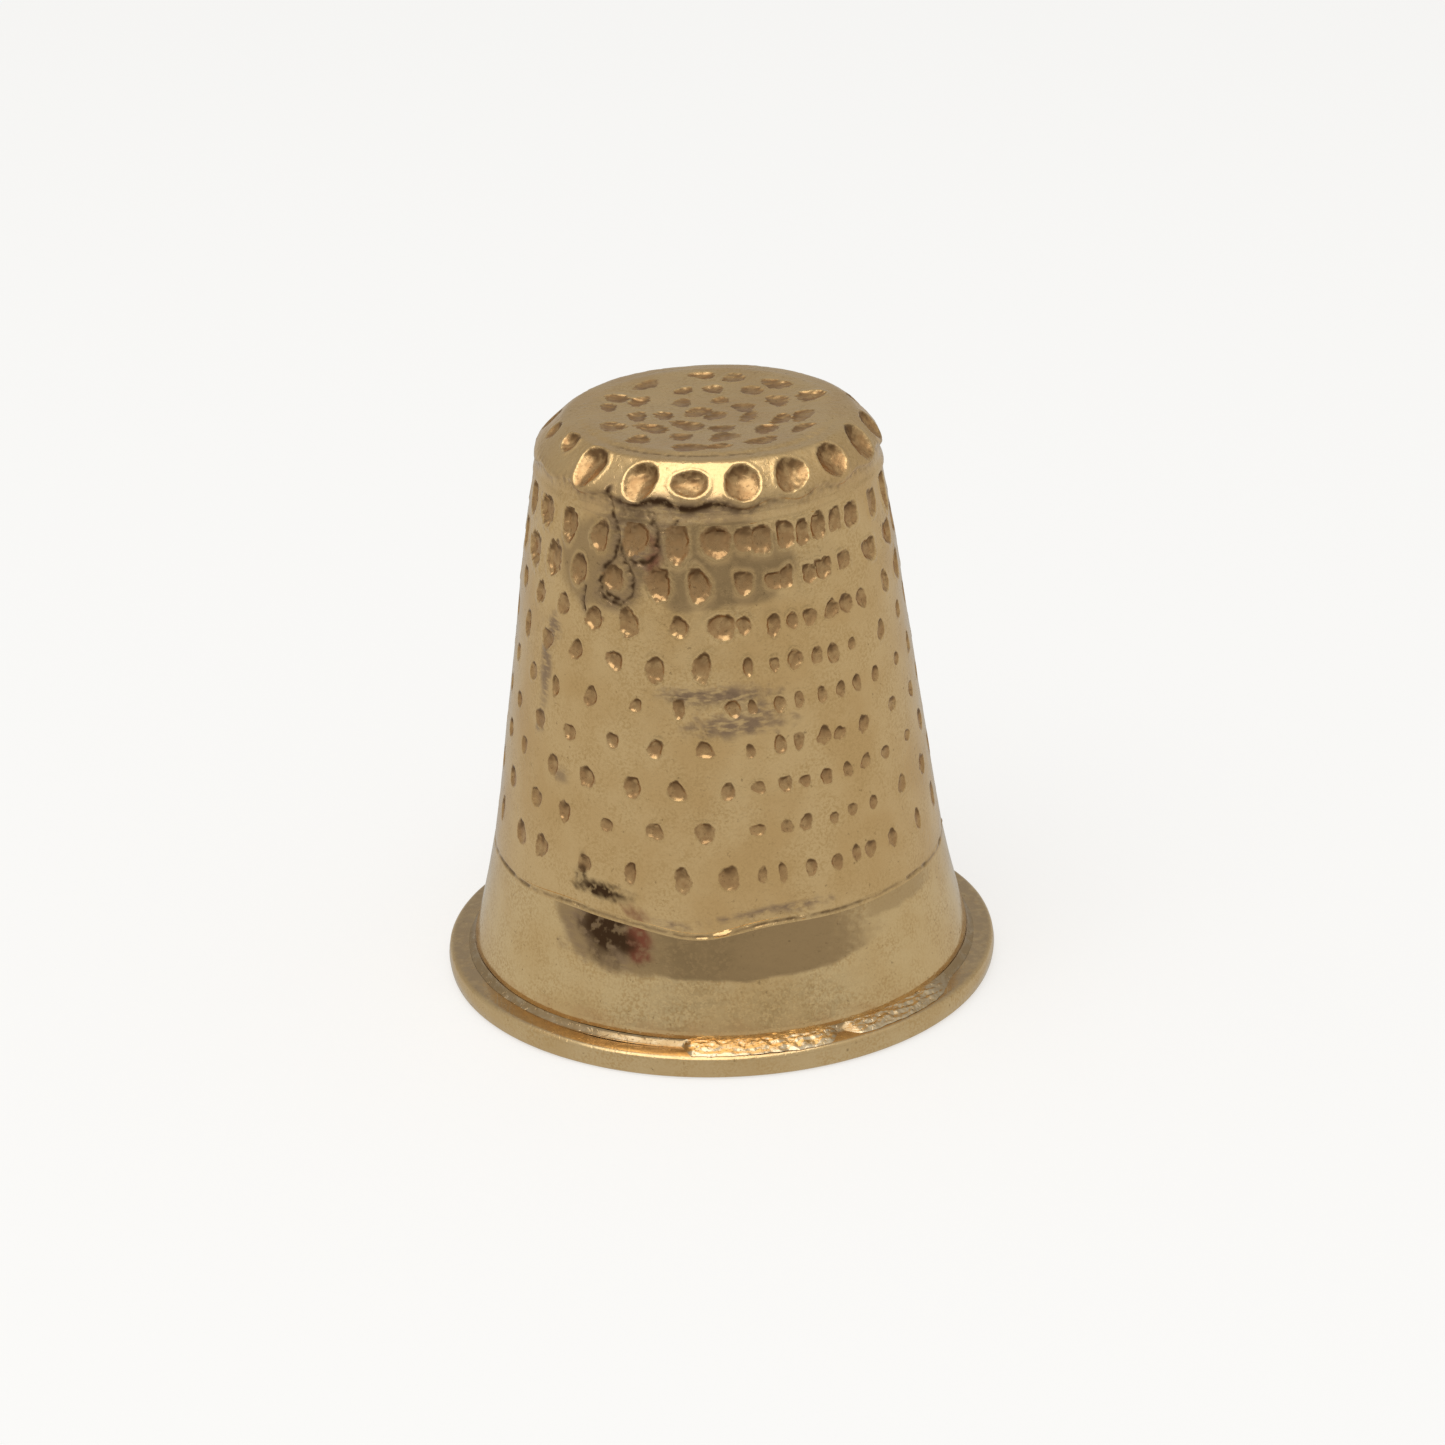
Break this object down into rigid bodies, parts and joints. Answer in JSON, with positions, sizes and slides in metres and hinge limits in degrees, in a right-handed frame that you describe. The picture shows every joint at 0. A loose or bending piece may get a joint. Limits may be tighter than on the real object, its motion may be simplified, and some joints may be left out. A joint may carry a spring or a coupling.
{
  "type": "thimble",
  "caption": "Soldered sheet-metal sewing thimble: pitted domed cap, pitted tapering side wall, plain flared skirt and a flat rim ring.",
  "frame": {"origin": "centre of the rim ring's flat resting face, on the thimble's axis", "axes": "+Z along the axis, from the open mouth up to the closed crown; -Y is the front, and +X is the front's right-hand side"},
  "size_m": [0.02, 0.02, 0.0211],
  "materials": {
    "gold": "polished, finely scratched by wear, darker tarnish in the pits and the joints",
    "solder": "satin, uneven, a little darker at its edges"
  },
  "bodies": {
    "root": {"crown_cap": "gold", "side_wall": "gold", "skirt_band": "gold", "rim_ring": "gold", "crown_solder": "solder", "wall_seam_solder": "solder", "skirt_solder": "solder", "skirt_seam_solder": "solder", "rim_solder": "solder"}
  },
  "joints": []
}
